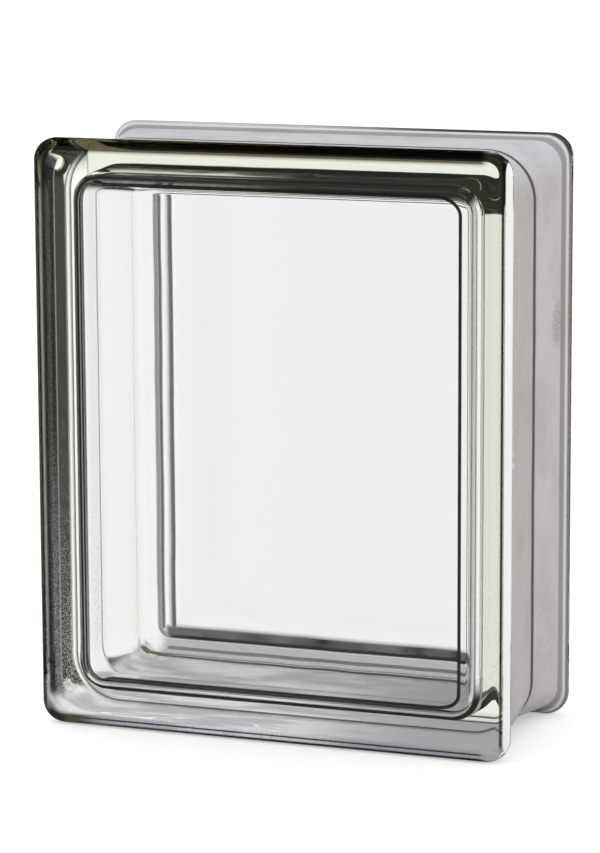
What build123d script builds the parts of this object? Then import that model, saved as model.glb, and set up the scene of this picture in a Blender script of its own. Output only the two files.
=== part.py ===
"""Hollow glass building block, pressed as two half shells and fused face to face.

Millimetres, +Z up. The origin is the middle of the underside. X runs along the width, the front
face looks along -Y, and the seam of the two halves lies in the plane Y = 0.
"""
import os

from build123d import *

# Overall size of the block
block_width = 190.0
block_height = 228.0
block_depth = 85.0

# Rim round each face: a flat land, then a lip that slopes down to the wall
rim_corner_radius = 9.0
rim_land = 6.0
lip_depth = 4.0
face_edge_radius = 4.2
lip_shoulder_radius = 2.0
lip_root_radius = 3.0

# Outside of the wall, from the lip to the seam
wall_inset = 2.8
wall_corner_radius = 10.0
seam_inset = 3.3
seam_corner_radius = 19.0
seam_edge_radius = 1.5

# Cavity, which opens towards the seam so that the plunger could be drawn out
face_thickness = 8.5
cavity_face_margin = 13.5
cavity_face_corner_radius = 10.5
cavity_root_radius = 8.5
seam_wall = 8.2
cavity_seam_corner_radius = 14.5

# Places along the depth, measured from the seam
half_depth = block_depth / 2
shoulder_level = half_depth - rim_land
root_level = shoulder_level - lip_depth
cavity_depth = half_depth - face_thickness
cavity_seam_margin = seam_inset + seam_wall

# The seam's plane, with its middle at half the block's height, facing the front
seam_plane = Plane(origin=(0, 0, block_height / 2), x_dir=(1, 0, 0), z_dir=(0, -1, 0))


def outline(level, inset, corner_radius):
    """Rounded rectangle at a distance in front of the seam, set in from the block's outline."""
    with BuildSketch(seam_plane.offset(level)) as sketch:
        RectangleRounded(block_width - 2 * inset, block_height - 2 * inset, corner_radius)
    return sketch.sketch


def edges_at(part, level):
    """Edges that lie in the plane at this distance in front of the seam."""
    return part.edges().filter_by_position(Axis.Y, -level, -level)


with BuildPart() as front_half:
    # The rim's land, as wide as the block
    extrude(outline(shoulder_level, 0, rim_corner_radius), amount=rim_land)
    # The lip, from the land down to the wall
    loft([outline(root_level, wall_inset, wall_corner_radius), outline(shoulder_level, 0, rim_corner_radius)])
    # The wall, with corners that grow rounder towards the seam
    loft([outline(0, seam_inset, seam_corner_radius), outline(root_level, wall_inset, wall_corner_radius)])
    fillet(edges_at(front_half, shoulder_level), lip_shoulder_radius)
    fillet(edges_at(front_half, root_level), lip_root_radius)
    fillet(edges_at(front_half, half_depth), face_edge_radius)
    fillet(edges_at(front_half, 0), seam_edge_radius)
    # The cavity, with a generous radius where its walls meet the face
    loft(
        [
            outline(0, cavity_seam_margin, cavity_seam_corner_radius),
            outline(cavity_depth, cavity_face_margin, cavity_face_corner_radius),
        ],
        mode=Mode.SUBTRACT,
    )
    fillet(edges_at(front_half, cavity_depth), cavity_root_radius)

# The rear half comes out of the same mould
with BuildPart() as rear_half:
    mirror(front_half.part, about=Plane.XZ)

front_half.part.label = "front_half"
rear_half.part.label = "rear_half"

os.makedirs("parts", exist_ok=True)
export_step(front_half.part, "parts/front_half.step")
export_step(rear_half.part, "parts/rear_half.step")
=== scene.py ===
"""Clear pressed glass block with a coated edge, dressed for a studio picture."""
import math

import bmesh
import bpy
from mathutils import Matrix, Vector


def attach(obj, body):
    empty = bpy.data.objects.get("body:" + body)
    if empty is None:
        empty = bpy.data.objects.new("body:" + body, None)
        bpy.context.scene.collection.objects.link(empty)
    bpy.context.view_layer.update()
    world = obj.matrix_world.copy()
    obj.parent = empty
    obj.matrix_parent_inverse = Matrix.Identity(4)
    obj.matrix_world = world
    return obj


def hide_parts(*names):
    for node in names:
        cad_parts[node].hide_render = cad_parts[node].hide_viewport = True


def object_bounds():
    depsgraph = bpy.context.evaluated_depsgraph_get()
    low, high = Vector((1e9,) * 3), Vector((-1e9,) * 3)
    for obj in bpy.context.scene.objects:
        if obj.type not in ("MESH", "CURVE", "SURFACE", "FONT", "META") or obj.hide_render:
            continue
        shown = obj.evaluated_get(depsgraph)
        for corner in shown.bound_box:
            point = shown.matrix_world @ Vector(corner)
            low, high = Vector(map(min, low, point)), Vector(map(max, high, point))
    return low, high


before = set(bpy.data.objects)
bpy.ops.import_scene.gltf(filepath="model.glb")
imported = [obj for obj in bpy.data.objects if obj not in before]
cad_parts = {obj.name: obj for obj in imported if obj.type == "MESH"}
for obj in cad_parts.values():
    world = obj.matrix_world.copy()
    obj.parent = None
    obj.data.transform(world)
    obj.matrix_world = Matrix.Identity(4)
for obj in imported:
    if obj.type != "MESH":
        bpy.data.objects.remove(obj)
cad_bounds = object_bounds()

MM = 0.001

# Outline of the block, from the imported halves
box_low, box_high = Vector(cad_bounds[0]), Vector(cad_bounds[1])
HALF_WIDTH = (box_high.x - box_low.x) / 2
HALF_HEIGHT = (box_high.z - box_low.z) / 2
HALF_DEPTH = (box_high.y - box_low.y) / 2
CENTRE = (box_low + box_high) / 2

# Section of one half, as in the part's source
RIM_CORNER_RADIUS = 9.0 * MM
RIM_LAND = 6.0 * MM
LIP_DEPTH = 4.0 * MM
FACE_EDGE_RADIUS = 4.2 * MM
LIP_SHOULDER_RADIUS = 2.0 * MM
LIP_ROOT_RADIUS = 3.0 * MM
WALL_INSET = 2.8 * MM
WALL_CORNER_RADIUS = 10.0 * MM
SEAM_INSET = 3.3 * MM
SEAM_CORNER_RADIUS = 19.0 * MM
SEAM_EDGE_RADIUS = 1.5 * MM
FACE_THICKNESS = 8.5 * MM
CAVITY_FACE_MARGIN = 13.5 * MM
CAVITY_FACE_CORNER_RADIUS = 10.5 * MM
CAVITY_ROOT_RADIUS = 8.5 * MM
SEAM_WALL = 8.2 * MM
CAVITY_SEAM_CORNER_RADIUS = 14.5 * MM

# The painted dark reflection in the rounded rim fades out on the face, this far in from the outline
FACE_MARGIN = 5.6 * MM

# Fineness of the meshes
CORNER_STEPS = 12
SIDE_STEPS = 24
ARC_STEPS = 6
BEND_STEPS = 16
WALL_STEPS = 12

# The sprayed film lies this far off the glass, because it bridges the fine texture of the moulded edge
FILM_GAP = 0.06 * MM

# Names of the vertex values for the glass under the film, the rounded rim and the turn of the cavity's bends
COATED_MASK = "coated"
RIM_MASK = "rim"
BEND_TURN = "bend"

# Bands of the section that the film covers
COATED = ("land", "shoulder", "slope", "root", "wall", "groove")

# Colours of the glass: its body, then painted dark reflections for the lines in it, its rim and the edge
# along the bottom, with painted shadow in one band and a painted white highlight
GLASS_BODY = (0.70, 0.74, 0.42)
CLEAR = (1, 1, 1)
DARK_REFLECTION_AND_SHADOW = (0, 0, 0)
RIM_OLIVE_REFLECTION = (0.02, 0.015, 0.006)
OLIVE_REFLECTION_LINE = (0.03, 0.027, 0.018)
HIGHLIGHT_WHITE = (0.98, 0.98, 0.97)
EDGE_PALE_REFLECTION = (0.6, 0.68, 0.72)
EDGE_DARK_REFLECTION = (0.005, 0.007, 0.009)

# Colours of the film where it touches the glass: at the sides, the front left, where the dark colours are
# painted shade, and the bottom, painted darker at the right as shade
FILM_WHITE = (0.97, 0.97, 0.98)
LEFT_SHADE = (0.008, 0.007, 0.006)
LEFT_SHADE_GRAIN = (0.045, 0.043, 0.045)
LOW_LEFT_SHADE = (0.07, 0.07, 0.08)
LOW_LEFT_SHADE_GRAIN = (0.26, 0.26, 0.295)
FILM_GREY = (0.5, 0.49, 0.535)
FILM_STREAK = (0.8, 0.79, 0.82)
FILM_SHADE = (0.4, 0.392, 0.425)
FILM_GRAIN = (0.25, 0.245, 0.27)
FILM_CREASE = (0.92, 0.91, 0.94)

# Colours of the film from inside, where it lies off the glass, with painted shade at the front lip, on the
# top and at the film's front end
INSIDE_PALE = (0.97, 0.97, 0.97)
INSIDE_SHADE = (0.006, 0.005, 0.003)
INSIDE_END_SHADE = (0.35, 0.34, 0.34)

# Colours of the film from outside, with painted light on the top, and of the marks on it, among them painted
# shade in the seam and at the lip's root and a painted highlight on the lip's edge
COAT_FRONT = (0.58, 0.552, 0.535)
COAT_REAR = (0.65, 0.622, 0.61)
COAT_LOW = (0.6, 0.575, 0.595)
COAT_TOP_LIT = (0.68, 0.68, 0.72)
COAT_CLOUD = (0.36, 0.33, 0.32)
COAT_GRAIN = (0.3, 0.28, 0.28)
SEAM_SHADE = (0.08, 0.07, 0.065)
LIP_ROOT_SHADE = (0.27, 0.25, 0.245)
LIP_HIGHLIGHT = (0.76, 0.745, 0.74)
REAR_RIM_GREY = (0.2, 0.19, 0.185)
CREST_BLACK = (0.03, 0.03, 0.03)
SPECK_BLACK = (0.04, 0.035, 0.03)
FLAKE_PALE = (0.8, 0.79, 0.78)
PATCH_BROWN = (0.36, 0.32, 0.31)

# Colours of the floor and of the dark cards in the studio
FLOOR_WHITE = (0.8, 0.8, 0.8)
CARD_OLIVE = (1.0, 0.9, 0.5)

# Marks on the right side, as the middle and the reach along the depth and upwards, in millimetres
FLAKES = (((-28.0, 111.5), (4.5, 6.5)), ((-28.8, 123.5), (3.0, 3.0)))
PATCH = ((28.5, 156.0), (8.0, 12.0))


def ring(inset, level, corner_radius):
    """Points of a rounded rectangle, set in from the block's outline, at a place along the depth."""
    reach_x = HALF_WIDTH - inset - corner_radius
    reach_z = HALF_HEIGHT - inset - corner_radius
    corners = ((1, 1, 0), (-1, 1, 90), (-1, -1, 180), (1, -1, 270))
    arcs = []
    for sign_x, sign_z, start in corners:
        middle = Vector((sign_x * reach_x, level, CENTRE.z + sign_z * reach_z))
        for step in range(CORNER_STEPS + 1):
            angle = math.radians(start + 90 * step / CORNER_STEPS)
            arcs.append(middle + corner_radius * Vector((math.cos(angle), 0, math.sin(angle))))
    points = []
    for index, point in enumerate(arcs):
        points.append(point)
        if index % (CORNER_STEPS + 1) == CORNER_STEPS:
            following = arcs[(index + 1) % len(arcs)]
            points += [point.lerp(following, step / SIDE_STEPS) for step in range(1, SIDE_STEPS)]
    return points


def arc(centre, radius, start, end, steps=ARC_STEPS):
    """Section points on an arc, as inset and level. Angle 0 points outwards and 90 towards the face."""
    points = []
    for step in range(steps + 1):
        angle = math.radians(start + (end - start) * step / steps)
        points.append((centre[0] - radius * math.cos(angle), centre[1] + radius * math.sin(angle)))
    return points


def outer_section():
    """Band, inset, level and corner radius of the outside, from the face's edge to the seam."""
    shoulder = HALF_DEPTH - RIM_LAND
    root = shoulder - LIP_DEPTH
    slope = math.degrees(math.atan2(WALL_INSET, LIP_DEPTH))
    half_turn = math.tan(math.radians(slope / 2))
    rows = [("face", FACE_MARGIN, HALF_DEPTH, RIM_CORNER_RADIUS - FACE_MARGIN)]
    edge = arc((FACE_EDGE_RADIUS, HALF_DEPTH - FACE_EDGE_RADIUS), FACE_EDGE_RADIUS, 90, 0)
    rows += [("edge", inset, level, RIM_CORNER_RADIUS - inset) for inset, level in edge]
    shoulder_middle = (LIP_SHOULDER_RADIUS, shoulder + LIP_SHOULDER_RADIUS * half_turn)
    rows.append(("land", 0, shoulder_middle[1], RIM_CORNER_RADIUS))
    for inset, level in arc(shoulder_middle, LIP_SHOULDER_RADIUS, 0, -slope)[1:]:
        rows.append(("shoulder", inset, level, RIM_CORNER_RADIUS))
    root_middle = (WALL_INSET - LIP_ROOT_RADIUS, root - LIP_ROOT_RADIUS * half_turn)
    bend = arc(root_middle, -LIP_ROOT_RADIUS, -slope, 0)
    rows.append(("slope", *bend[0], WALL_CORNER_RADIUS))
    rows += [("root", inset, level, WALL_CORNER_RADIUS) for inset, level in bend[1:]]
    wall_start = rows[-1][2]
    for step in range(1, WALL_STEPS + 1):
        share = step / WALL_STEPS
        level = wall_start + (SEAM_EDGE_RADIUS - wall_start) * share
        inset = WALL_INSET + (SEAM_INSET - WALL_INSET) * share
        corner = WALL_CORNER_RADIUS + (SEAM_CORNER_RADIUS - WALL_CORNER_RADIUS) * share
        rows.append(("wall", inset, level, corner))
    groove = arc((SEAM_INSET + SEAM_EDGE_RADIUS, SEAM_EDGE_RADIUS), SEAM_EDGE_RADIUS, 0, -90)
    for inset, level in groove[1:]:
        rows.append(("groove", inset, level, SEAM_CORNER_RADIUS - inset + SEAM_INSET))
    return rows


def inner_section():
    """Inset, level, corner radius and turn of the cavity, from the seam to the flat.

    The turn is the share of the bend that is left up to the flat: 1 on the wall and 0 on the flat.
    """
    depth = HALF_DEPTH - FACE_THICKNESS
    seam_margin = SEAM_INSET + SEAM_WALL
    draft = math.degrees(math.atan2(CAVITY_FACE_MARGIN - seam_margin, depth))
    slack = CAVITY_ROOT_RADIUS * math.tan(math.radians((90 - draft) / 2))
    bend_level = depth - slack * math.cos(math.radians(draft))
    rows = []
    for step in range(WALL_STEPS + 1):
        share = step / WALL_STEPS * bend_level / depth
        inset = seam_margin + (CAVITY_FACE_MARGIN - seam_margin) * share
        corner = CAVITY_SEAM_CORNER_RADIUS + (CAVITY_FACE_CORNER_RADIUS - CAVITY_SEAM_CORNER_RADIUS) * share
        rows.append((inset, depth * share, corner, 1.0))
    last_inset, _, last_corner, _ = rows[-1]
    bend_middle = (CAVITY_FACE_MARGIN + slack, depth - CAVITY_ROOT_RADIUS)
    bend = arc(bend_middle, CAVITY_ROOT_RADIUS, draft, 90, BEND_STEPS)
    for step, (inset, level) in enumerate(bend[1:], 1):
        rows.append((inset, level, max(last_corner - (inset - last_inset), MM), 1.0 - step / BEND_STEPS))
    return rows


def bridge(mesh, first, second, outward):
    """Quads between two rings of vertices, facing out of the block or into it."""
    count = len(first)
    for index in range(count):
        following = (index + 1) % count
        corners = (first[index], first[following], second[following], second[index])
        mesh.faces.new(reversed(corners) if outward else corners).smooth = True


def skin(mesh, sections, outward=True):
    """Rings of vertices for the sections, front to rear, with quads between them."""
    rings = [[mesh.verts.new(point) for point in ring(*section)] for section in sections]
    for first, second in zip(rings, rings[1:]):
        bridge(mesh, first, second, outward)
    return rings


def close_ends(mesh, rings, outward=True):
    """Flat faces over the first ring and the last one."""
    front, rear = rings[0], rings[-1]
    mesh.faces.new(front if outward else reversed(front)).smooth = True
    mesh.faces.new(reversed(rear) if outward else rear).smooth = True


def finished(mesh, name):
    data = bpy.data.meshes.new(name)
    mesh.to_mesh(data)
    mesh.free()
    return data


def glass_mesh():
    """Outside and cavity of the fused block, as one closed body of glass."""
    mesh = bmesh.new()
    rows = outer_section()
    for name in (COATED_MASK, RIM_MASK, BEND_TURN):
        mesh.verts.layers.float.new(name)
    coated, rim, bend = [mesh.verts.layers.float[name] for name in (COATED_MASK, RIM_MASK, BEND_TURN)]
    halves = [(row, -1) for row in rows] + [(row, 1) for row in reversed(rows[:-1])]
    sections = []
    for (band, inset, level, corner), side in halves:
        sections.append((inset + FILM_GAP * (band in COATED), side * level, corner))
    outer_rings = skin(mesh, sections)
    close_ends(mesh, outer_rings)
    for points, (row, _) in zip(outer_rings, halves):
        for point in points:
            point[coated] = float(row[0] in COATED) + float(row[0] == "groove")
            point[rim] = float(row[0] == "edge")
    cavity = inner_section()
    sections = [(inset, -level, corner) for inset, level, corner, _ in reversed(cavity)]
    sections += [(inset, level, corner) for inset, level, corner, _ in cavity[1:]]
    turns = [row[-1] for row in reversed(cavity)] + [row[-1] for row in cavity[1:]]
    cavity_rings = skin(mesh, sections, outward=False)
    close_ends(mesh, cavity_rings, outward=False)
    for points, turn in zip(cavity_rings, turns):
        for point in points:
            point[bend] = turn
    return finished(mesh, "glass_body")


def film_mesh():
    """The sprayed film on the edge, from the front rim to the rear one."""
    mesh = bmesh.new()
    covered = [row[1:] for row in outer_section() if row[0] in COATED]
    sections = [(inset, -level, corner) for inset, level, corner in covered]
    sections += [(inset, level, corner) for inset, level, corner in reversed(covered[:-1])]
    skin(mesh, sections)
    return finished(mesh, "edge_coat")


class Tree:
    """Nodes of a material or the world. Most calls add a node and give its output."""

    def __init__(self, owner):
        owner.use_nodes = True
        self.nodes = owner.node_tree.nodes
        self.links = owner.node_tree.links

    def locate(self, coordinates, unit=1.0):
        """Read coordinates, as they are for noise, and split by axis in the unit for places."""
        self.place = self.nodes.new("ShaderNodeTexCoord").outputs[coordinates]
        scaled = self.nodes.new("ShaderNodeVectorMath")
        scaled.operation = "SCALE"
        self.fill(scaled, {"Vector": self.place, "Scale": 1 / unit})
        split = self.nodes.new("ShaderNodeSeparateXYZ")
        self.put(split.inputs[0], scaled.outputs[0])
        self.across, self.along, self.upward = split.outputs

    def put(self, socket, value):
        """An output is linked to the socket, and a number, vector or colour is set on it."""
        if isinstance(value, bpy.types.NodeSocket):
            self.links.new(value, socket)
        elif socket.type == "RGBA":
            socket.default_value = (*value, 1)
        else:
            socket.default_value = value

    def fill(self, node, values):
        """The node, with the values put into the inputs of those names."""
        for name, value in values.items():
            self.put(node.inputs[name], value)
        return node

    def calc(self, operation, first, second=0.0):
        node = self.nodes.new("ShaderNodeMath")
        node.operation = operation
        self.put(node.inputs[0], first)
        self.put(node.inputs[1], second)
        return node.outputs[0]

    def product(self, first, *others):
        for other in others:
            first = self.calc("MULTIPLY", first, other)
        return first

    def largest(self, first, *others):
        for other in others:
            first = self.calc("MAXIMUM", first, other)
        return first

    def rest(self, share):
        """What a share leaves of 1."""
        return self.calc("SUBTRACT", 1.0, share)

    def distance(self, first, second):
        return self.calc("ABSOLUTE", self.calc("SUBTRACT", first, second))

    def ramp(self, value, start, end, low=0.0, high=1.0):
        """Smooth change from low to high as the value goes from start to end."""
        node = self.nodes.new("ShaderNodeMapRange")
        node.interpolation_type = "SMOOTHSTEP"
        self.fill(node, {"Value": value, "From Min": start, "From Max": end, "To Min": low, "To Max": high})
        return node.outputs["Result"]

    def band(self, value, start, end, blur):
        """1 between start and end, and 0 outside."""
        rise = self.ramp(value, start - blur, start + blur)
        fall = self.ramp(value, end + blur, end - blur)
        return self.product(rise, fall)

    def noise(self, scale, detail=2.0, stretch=(1, 1, 1)):
        """Noise over the piece, with the pattern squeezed along the axes by the stretch."""
        mapping = self.fill(self.nodes.new("ShaderNodeMapping"), {"Vector": self.place, "Scale": stretch})
        node = self.nodes.new("ShaderNodeTexNoise")
        self.fill(node, {"Vector": mapping.outputs[0], "Scale": scale, "Detail": detail})
        return node.outputs["Fac"]

    def blend(self, share, first, second):
        """Colour that goes from the first to the second with the share."""
        node = self.nodes.new("ShaderNodeMix")
        node.data_type = "RGBA"
        colours = [socket for socket in node.inputs if socket.type == "RGBA"]
        self.put(node.inputs["Factor"], share)
        self.put(colours[0], first)
        self.put(colours[1], second)
        return [socket for socket in node.outputs if socket.type == "RGBA"][0]

    def spot(self, middle, reach):
        """1 in the middle of an oval spot on the right side of the block, and 0 outside it."""
        scaled = self.nodes.new("ShaderNodeVectorMath")
        scaled.operation = "MULTIPLY"
        self.put(scaled.inputs[0], self.place)
        self.put(scaled.inputs[1], (1 / HALF_WIDTH, 1 / (reach[0] * MM), 1 / (reach[1] * MM)))
        away = self.nodes.new("ShaderNodeVectorMath")
        away.operation = "DISTANCE"
        self.put(away.inputs[0], scaled.outputs[0])
        self.put(away.inputs[1], (1, middle[0] / reach[0], middle[1] / reach[1]))
        return self.ramp(away.outputs["Value"], 1.0, 0.4)

    def attribute(self, name):
        node = self.nodes.new("ShaderNodeAttribute")
        node.attribute_name = name
        return node.outputs["Fac"]

    def bump(self, height, strength, depth):
        node = self.nodes.new("ShaderNodeBump")
        return self.fill(node, {"Height": height, "Strength": strength, "Distance": depth}).outputs[0]

    def principled(self, values):
        return self.fill(self.nodes["Principled BSDF"], values).outputs[0]

    def shader(self, kind, colour):
        return self.fill(self.nodes.new(kind), {"Color": colour}).outputs[0]

    def mix(self, share, first, second):
        """Shader that goes from the first to the second with the share."""
        node = self.nodes.new("ShaderNodeMixShader")
        self.put(node.inputs[0], share)
        self.put(node.inputs[1], first)
        self.put(node.inputs[2], second)
        return node.outputs[0]

    def show(self, surface):
        self.put(self.nodes["Material Output"].inputs["Surface"], surface)


# The materials read places in millimetres, and the functions for lines give 1 on the line and 0 beside it


def front_window_line(tree, turn):
    """Painted dark reflection: a line round the front window, on the bend of the cavity.

    It lies nearer to the wall at the left, and nearer to the flat at the right and the bottom.
    """
    left_turn, middle_turn, right_turn = 0.57, 0.33, 0.08
    bottom_shift = 0.1
    bend_start, bend_end = 66.0, 76.0
    from_left = tree.ramp(tree.across, -bend_start, -bend_end, high=left_turn - middle_turn)
    to_right = tree.ramp(tree.across, bend_start, bend_end, low=middle_turn, high=right_turn)
    at_bottom = tree.product(
        tree.ramp(tree.upward, 30.0, 24.0, high=bottom_shift),
        tree.ramp(tree.across, bend_end, bend_start),
    )
    line_turn = tree.calc("SUBTRACT", tree.calc("ADD", from_left, to_right), at_bottom)
    return tree.ramp(tree.distance(turn, line_turn), 0.08, 0.05)


def rear_bend_lines(tree, turn):
    """Two painted dark reflection lines along the rear bends. At the left, the far one gives way to a line
    on the flat.
    """
    near = tree.product(tree.band(turn, 0.05, 0.2, 0.03), tree.ramp(tree.across, -72.0, -70.0, low=0.9))
    far = tree.product(tree.band(turn, 0.42, 0.6, 0.04), tree.ramp(tree.across, -74.0, -70.0, high=0.97))
    return tree.largest(near, far)


def rear_flat_lines(tree):
    """Two painted dark reflection lines, upright at the left of the rear flat."""
    dark_share = 0.985
    outer = tree.product(tree.band(tree.across, -74.4, -72.7, 0.4), dark_share)
    inner = tree.product(
        tree.ramp(tree.across, -71.7, -69.3, high=dark_share),
        tree.ramp(tree.across, -67.7, -68.2),
    )
    flat = tree.product(tree.band(tree.along, 33.0, 36.0, 0.5), tree.band(tree.upward, 22.5, 205.5, 1.0))
    return tree.product(tree.largest(inner, outer), flat)


def rear_bottom_band(tree, cloud):
    """Painted shadow: a broad dark band along the rear bend at the bottom, with a grey skirt under it,
    standing for the shaded floor behind the block seen through the glass.
    """
    core = tree.product(tree.band(tree.upward, 19.2, 24.6, 1.2), tree.ramp(cloud, 0.35, 0.65, low=0.985))
    skirt_share = 0.75
    skirt = tree.product(tree.band(tree.upward, 13.0, 19.5, 1.0), skirt_share)
    bend = tree.product(tree.band(tree.along, 24.0, 37.0, 1.0), tree.ramp(tree.across, -76.0, -71.0))
    return tree.product(tree.largest(core, skirt), bend)


def rim_colour(tree, rim, in_front, colour):
    """The colour of the glass, with a painted dark olive reflection in the rounded rim.

    The painted olive thins to a line at the right, and gives way to a pale edge with dark lines at the
    bottom, which are painted reflections too.
    """
    from_middle = tree.distance(tree.upward, HALF_HEIGHT / MM)
    left = tree.product(tree.ramp(tree.across, -91.2, -92.4), in_front)
    sides = tree.largest(left, tree.ramp(from_middle, 104.0, 109.0))
    rim_reflection = tree.product(rim, tree.ramp(tree.across, 88.0, 84.0), sides)
    right_line = tree.product(tree.band(tree.across, 92.0, 93.1, 0.3), tree.ramp(tree.along, -40.5, -41.3))
    rim_reflection = tree.largest(rim_reflection, right_line)
    bottom = tree.product(tree.ramp(tree.upward, 8.0, 5.0), tree.ramp(tree.across, -80.0, -60.0))
    dark_lines = tree.largest(tree.ramp(tree.upward, 2.2, 1.5), tree.band(tree.upward, 3.0, 3.8, 0.2))
    rim_reflection_colour = tree.blend(bottom, RIM_OLIVE_REFLECTION, tree.blend(dark_lines, EDGE_PALE_REFLECTION, EDGE_DARK_REFLECTION))
    return tree.blend(rim_reflection, colour, rim_reflection_colour)


def contact_share(tree, grain, cloud, left_shade, left_wall, bottom):
    """Share of the glass that the film touches.

    It touches in grains, more of them towards the bottom, and sticks to the bottom, to the rear of the left
    wall and in the seam. At the front of the left wall it shows as a dark sheet of painted shade.
    """
    lower = tree.ramp(tree.upward, 160.0, 10.0, high=0.12)
    clouded = tree.ramp(cloud, 0.4, 0.7, high=0.04)
    dense = tree.calc("ADD", grain, tree.calc("ADD", lower, clouded))
    weight = tree.ramp(tree.upward, 150.0, 30.0, low=0.06, high=0.4)
    grains = tree.product(tree.ramp(dense, 0.66, 0.72), weight)
    rear_left = tree.product(left_wall, tree.ramp(tree.along, 0.0, 4.0))
    left_shade_share = 0.95
    coated = tree.attribute(COATED_MASK)
    touching = tree.largest(grains, rear_left, bottom, tree.product(left_shade, left_shade_share))
    return tree.largest(tree.product(touching, coated), tree.ramp(coated, 1.0, 1.6))


def side_film_colour(tree, left_shade):
    """White film, dark with grey grains where the front of the left wall is in painted shade, and that shade
    paler low down.
    """
    low_down = tree.ramp(tree.upward, 130.0, 30.0)
    dark = tree.blend(low_down, LEFT_SHADE, LOW_LEFT_SHADE)
    shade_grain = tree.blend(low_down, LEFT_SHADE_GRAIN, LOW_LEFT_SHADE_GRAIN)
    long_grain = tree.noise(1800.0, stretch=(1, 0.2, 1))
    return tree.blend(left_shade, FILM_WHITE, tree.blend(tree.ramp(long_grain, 0.35, 0.75), dark, shade_grain))


def bottom_film_colour(tree, grain):
    """Grey film with pale streaks and dark grains, darker at the right as painted shade, with a few pale
    creases in front.
    """
    streak = tree.noise(110.0, detail=3.0, stretch=(0.25, 1, 1))
    colour = tree.blend(tree.ramp(streak, 0.4, 0.62), FILM_GREY, FILM_STREAK)
    # Painted shade: darker towards the right
    colour = tree.blend(tree.ramp(tree.across, -20.0, 60.0), colour, FILM_SHADE)
    colour = tree.blend(tree.ramp(grain, 0.5, 0.7, high=0.5), colour, FILM_GRAIN)
    fold = tree.distance(tree.noise(38.0, stretch=(0.3, 1, 1)), 0.5)
    front_left = tree.product(tree.ramp(tree.across, 20.0, -30.0), tree.ramp(tree.along, -16.0, -22.0))
    crease = tree.product(tree.ramp(fold, 0.012, 0.004), front_left)
    return tree.blend(crease, colour, FILM_CREASE)


def film_contact(tree, cloud):
    """Share of the glass that the film touches, and the film seen there."""
    grain = tree.noise(1600.0)
    bottom = tree.ramp(tree.upward, 12.0, 6.0)
    left_wall = tree.ramp(tree.across, -89.0, -90.5)
    # Painted shade: a mask for the front of the left wall, where the film is painted dark
    left_shade = tree.product(left_wall, tree.ramp(tree.along, -18.0, -21.0), tree.ramp(tree.along, -34.5, -33.0))
    share = contact_share(tree, grain, cloud, left_shade, left_wall, bottom)
    colour = tree.blend(bottom, side_film_colour(tree, left_shade), bottom_film_colour(tree, grain))
    return share, tree.shader("ShaderNodeBsdfTranslucent", colour)


def glass_material():
    """Soda-lime glass with a faint green that deepens with the length of the path through it.

    The dark lines that the studio draws along the bends are tints, because the studio isn't known. The
    film shows where it touches the glass.
    """
    material = bpy.data.materials.new("clear_glass")
    tree = Tree(material)
    tree.locate("Object", MM)
    turn = tree.attribute(BEND_TURN)
    rim = tree.attribute(RIM_MASK)
    cloud = tree.noise(60.0, detail=3.0)
    behind = tree.ramp(tree.along, -10.0, 10.0)
    in_front = tree.rest(behind)

    # Clear glass with painted dark reflection lines, a painted shadow band, a painted dark olive reflection
    # in the rim and the slight waves of the pressed surface
    front_lines = tree.product(front_window_line(tree, turn), in_front)
    rear_lines = tree.product(rear_bend_lines(tree, turn), behind)
    bend_lines = tree.calc("ADD", front_lines, rear_lines)
    lines = tree.largest(bend_lines, rear_flat_lines(tree), rear_bottom_band(tree, cloud))
    glass = tree.principled({
        "Base Color": rim_colour(tree, rim, in_front, tree.blend(lines, CLEAR, DARK_REFLECTION_AND_SHADOW)),
        "Roughness": 0.0,
        "IOR": 1.52,
        "Transmission Weight": 1.0,
        "Normal": tree.bump(tree.noise(40.0, detail=1.0), strength=1.0, depth=0.1 * MM),
    })
    body = tree.fill(tree.nodes.new("ShaderNodeVolumeAbsorption"), {"Color": GLASS_BODY, "Density": 4.5})
    tree.put(tree.nodes["Material Output"].inputs["Volume"], body.outputs[0])

    # The film behind it, a painted white highlight on the right rim and a painted dark olive reflection line
    # under the front window
    touching, film = film_contact(tree, cloud)
    surface = tree.mix(touching, glass, film)
    painted_highlight = tree.product(rim, tree.ramp(tree.across, 93.2, 93.6), tree.ramp(tree.along, -30.0, -36.0))
    # Painted reflection: a dark olive line under the front window
    under = tree.product(tree.band(turn, 0.55, 0.92, 0.04), tree.ramp(tree.upward, 32.0, 22.0), in_front)
    paint = tree.shader("ShaderNodeBsdfDiffuse", tree.blend(under, HIGHLIGHT_WHITE, OLIVE_REFLECTION_LINE))
    tree.show(tree.mix(tree.largest(painted_highlight, under), surface, paint))
    return material


def coat_ground(tree, grain, top):
    """Greyer in front of the seam, paler behind it, cooler at the bottom, paler and cooler on the top as
    painted light from above, with clouds and grain.
    """
    colour = tree.blend(tree.ramp(tree.along, -2.0, 6.0), COAT_FRONT, COAT_REAR)
    colour = tree.blend(tree.ramp(tree.upward, 90.0, 0.0, high=0.6), colour, COAT_LOW)
    colour = tree.blend(top, colour, COAT_TOP_LIT)
    cloud = tree.noise(45.0, detail=4.0)
    colour = tree.blend(tree.ramp(cloud, 0.42, 0.7, high=0.25), colour, COAT_CLOUD)
    return tree.blend(tree.ramp(grain, 0.45, 0.75, high=0.35), colour, COAT_GRAIN)


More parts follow.
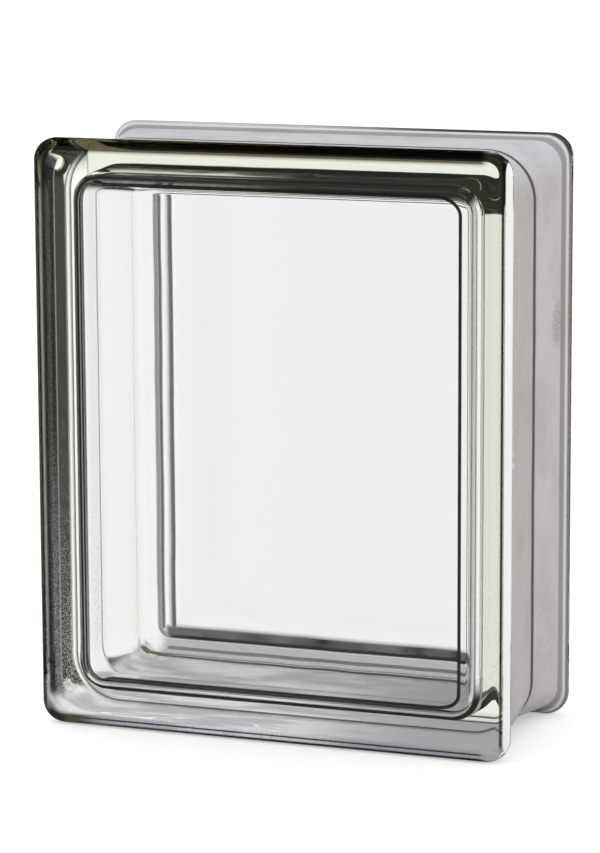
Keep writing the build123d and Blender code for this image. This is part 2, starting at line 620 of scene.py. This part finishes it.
def coat_lines(tree, colour, grain, top):
    """The wavering seam and the root of the rear lip darkened as painted shade, a painted highlight on the
    edge of the rear lip, and the grey, grainy rear rim.
    """
    shoulder = (HALF_DEPTH - RIM_LAND) / MM
    root = shoulder - LIP_DEPTH / MM
    waver = 1.6
    wavering = tree.calc("ADD", tree.along, tree.product(tree.noise(30.0), waver))
    seam = tree.band(tree.calc("SUBTRACT", wavering, waver / 2), -1.7, 1.7, 0.6)
    root_line = tree.band(tree.along, root - 0.2, root + 1.9, 0.4)
    lip = tree.band(tree.along, root + 2.1, root + 2.9, 0.3)
    lines = ((seam, 0.9, SEAM_SHADE), (root_line, 0.75, LIP_ROOT_SHADE), (lip, 0.85, LIP_HIGHLIGHT))
    for line, share, line_colour in lines:
        colour = tree.blend(tree.product(line, share), colour, line_colour)
    rear_rim = tree.product(tree.ramp(tree.along, root + 2.9, root + 3.4), tree.rest(top))
    rim_grain = tree.ramp(grain, 0.4, 0.62, low=0.8)
    colour = tree.blend(tree.product(rear_rim, rim_grain), colour, REAR_RIM_GREY)
    crest = tree.product(
        tree.ramp(tree.across, -30.0, 50.0, low=0.15, high=0.95),
        top,
        tree.ramp(tree.along, shoulder - 1.4, shoulder - 0.7),
    )
    return tree.blend(crest, colour, CREST_BLACK)


def coat_marks(tree, colour, grain):
    """Black specks at the lower front border, pale flakes near it and a brown patch by the rear lip."""
    front_end = (RIM_LAND - HALF_DEPTH) / MM
    border = tree.ramp(tree.along, front_end + 3.0, front_end + 0.5)
    specks = tree.calc("ADD", grain, tree.ramp(tree.upward, 80.0, 0.0, low=-0.15, high=0.1))
    colour = tree.blend(tree.product(border, tree.ramp(specks, 0.58, 0.62)), colour, SPECK_BLACK)
    flaked = tree.ramp(tree.noise(420.0), 0.46, 0.52)
    for middle, reach in FLAKES:
        colour = tree.blend(tree.product(tree.spot(middle, reach), flaked), colour, FLAKE_PALE)
    worn = tree.ramp(grain, 0.45, 0.6, low=0.2, high=0.8)
    return tree.blend(tree.product(tree.spot(*PATCH), worn), colour, PATCH_BROWN)


def coat_inside(tree, top):
    """Pale film from inside, with painted shade: dark at the front lip and on the top, grey at its front
    end.
    """
    inside_shade = tree.largest(tree.ramp(tree.along, -26.0, -31.0), top)
    inside_shade = tree.product(inside_shade, tree.ramp(tree.upward, 8.0, 14.0))
    end_shade = tree.product(tree.ramp(tree.along, -33.0, -34.5), tree.rest(top))
    return tree.blend(end_shade, tree.blend(inside_shade, INSIDE_PALE, INSIDE_SHADE), INSIDE_END_SHADE)


def coat_material():
    """Sprayed matt coat: grey outside, and translucent where it is seen through the glass."""
    material = bpy.data.materials.new("edge_coat")
    tree = Tree(material)
    tree.locate("Object", MM)
    grain = tree.noise(1300.0, detail=3.0)
    top = tree.ramp(tree.upward, 210.0, 222.0)
    colour = coat_ground(tree, grain, top)
    colour = coat_lines(tree, colour, grain, top)
    colour = coat_marks(tree, colour, grain)
    outside = tree.principled({
        "Base Color": colour,
        "Roughness": 0.7,
        "Normal": tree.bump(grain, strength=0.5, depth=0.1 * MM),
    })
    inside = tree.shader("ShaderNodeBsdfTranslucent", coat_inside(tree, top))
    side = tree.nodes.new("ShaderNodeNewGeometry")
    tree.show(tree.mix(side.outputs["Backfacing"], outside, inside))
    return material


def add_piece(mesh, material):
    """A piece of the block, with flat faces shaded flat up to their rounded edges."""
    piece = bpy.data.objects.new(mesh.name, mesh)
    bpy.context.collection.objects.link(piece)
    mesh.materials.append(material)
    weights = piece.modifiers.new("flat_faces", "WEIGHTED_NORMAL")
    weights.mode = "FACE_AREA"
    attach(piece, "root")
    return piece


def build_block():
    glass = add_piece(glass_mesh(), glass_material())
    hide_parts("front_half", "rear_half")
    add_piece(film_mesh(), coat_material())


def make_camera():
    """Camera of the photograph, from a fit to the outlines of both rims."""
    focal_px = 3540.0
    picture_height_px = 853
    yaw = math.radians(20.76)
    pitch = math.radians(10.17)
    roll = math.radians(0.26)
    distance = 1.365
    centre_shift_px = (5.6, 3.6)
    data = bpy.data.cameras.new("camera")
    data.sensor_width = 36.0
    data.lens = focal_px * data.sensor_width / picture_height_px
    data.shift_x = -centre_shift_px[0] / picture_height_px
    data.shift_y = centre_shift_px[1] / picture_height_px
    ahead = Vector((-math.sin(yaw) * math.cos(pitch), math.cos(yaw) * math.cos(pitch), -math.sin(pitch)))
    level = Vector((math.cos(yaw), math.sin(yaw), 0))
    down = ahead.cross(level)
    right = math.cos(roll) * level + math.sin(roll) * down
    up = -ahead.cross(right)
    camera = bpy.data.objects.new("camera", data)
    rotation = Matrix((right, up, -ahead)).transposed().to_4x4()
    camera.matrix_world = Matrix.Translation(CENTRE - distance * ahead) @ rotation
    bpy.context.collection.objects.link(camera)
    bpy.context.scene.camera = camera


def lighting_rays(tree, path):
    """1 for rays that gather light for a matt surface, and 0 for rays that are seen directly."""
    scattered = tree.largest(path.outputs["Diffuse Depth"], path.outputs["Is Diffuse Ray"])
    return tree.calc("GREATER_THAN", scattered, 0.5)


def floor_material():
    """White floor that shows to the camera and lights the coat. Rays that came through glass pass it."""
    material = bpy.data.materials.new("white_floor")
    tree = Tree(material)
    path = tree.nodes.new("ShaderNodeLightPath")
    seen = path.outputs["Is Camera Ray"]
    glow_share = 0.4
    matt = tree.principled({
        "Base Color": FLOOR_WHITE,
        "Roughness": 1.0,
        "Specular IOR Level": 0.0,
        "Emission Color": (1, 1, 1),
        "Emission Strength": tree.product(seen, glow_share),
    })
    outside_glass = tree.calc("LESS_THAN", path.outputs["Transmission Depth"], 0.5)
    solid = tree.largest(seen, tree.product(lighting_rays(tree, path), outside_glass))
    tree.show(tree.mix(solid, tree.shader("ShaderNodeBsdfTransparent", CLEAR), matt))
    return material


def make_floor():
    """Floor that keeps a faint shadow."""
    reach = 6.0
    drop = -0.1 * MM
    corners = [(-reach, -reach, drop), (reach, -reach, drop), (reach, reach, drop), (-reach, reach, drop)]
    data = bpy.data.meshes.new("floor")
    data.from_pydata(corners, [], [(0, 1, 2, 3)])
    data.materials.append(floor_material())
    floor = bpy.data.objects.new("floor", data)
    bpy.context.collection.objects.link(floor)


def make_world():
    """Studio: a white backdrop, dark cards that give the glass its edges, and soft light on the coat."""
    world = bpy.data.worlds.new("studio")
    bpy.context.scene.world = world
    world.cycles.sampling_method = "NONE"
    tree = Tree(world)
    tree.locate("Generated")
    path = tree.nodes.new("ShaderNodeLightPath")
    lighting = lighting_rays(tree, path)
    direct = tree.rest(lighting)
    straight = tree.product(direct, tree.calc("LESS_THAN", path.outputs["Glossy Depth"], 0.5))
    mirrored = tree.calc("SUBTRACT", direct, straight)

    # Mirrored in the glass: the backdrop at the left rear, a dim room in front and dark cards elsewhere
    card_level, panel_level, room_level = 0.015, 0.85, 0.3
    panel = tree.product(
        tree.ramp(tree.across, -0.35, -0.38, low=card_level, high=panel_level),
        tree.ramp(tree.along, 0.2, 0.5),
        tree.ramp(tree.upward, -0.05, -0.09),
        tree.ramp(tree.upward, -0.4, -0.3),
    )
    room = tree.ramp(tree.along, -0.7, -0.85, low=card_level, high=room_level)
    reflected = tree.product(mirrored, tree.largest(panel, room))
    dark = tree.product(mirrored, tree.ramp(reflected, 0.1, 0.02))

    # Soft light on the coat, a little stronger from the left, and white for rays that are seen directly
    from_left = tree.ramp(tree.across, 0.2, -0.8, low=1.0, high=1.2)
    from_rear = tree.ramp(tree.along, -0.8, 0.3, low=0.95)
    soft = tree.product(from_left, from_rear, lighting)
    level = tree.calc("ADD", tree.calc("ADD", straight, reflected), soft)
    tree.fill(tree.nodes["Background"], {
        "Color": tree.blend(dark, CLEAR, CARD_OLIVE),
        "Strength": tree.largest(level, path.outputs["Is Camera Ray"]),
    })


def set_view():
    """Plain view, with enough bounces for the many surfaces of hollow glass."""
    scene = bpy.context.scene
    scene.view_settings.view_transform = "Standard"
    scene.cycles.max_bounces = 32
    scene.cycles.transmission_bounces = 32
    scene.cycles.glossy_bounces = 32
    scene.cycles.diffuse_bounces = 4


build_block()
make_camera()
make_floor()
make_world()
set_view()
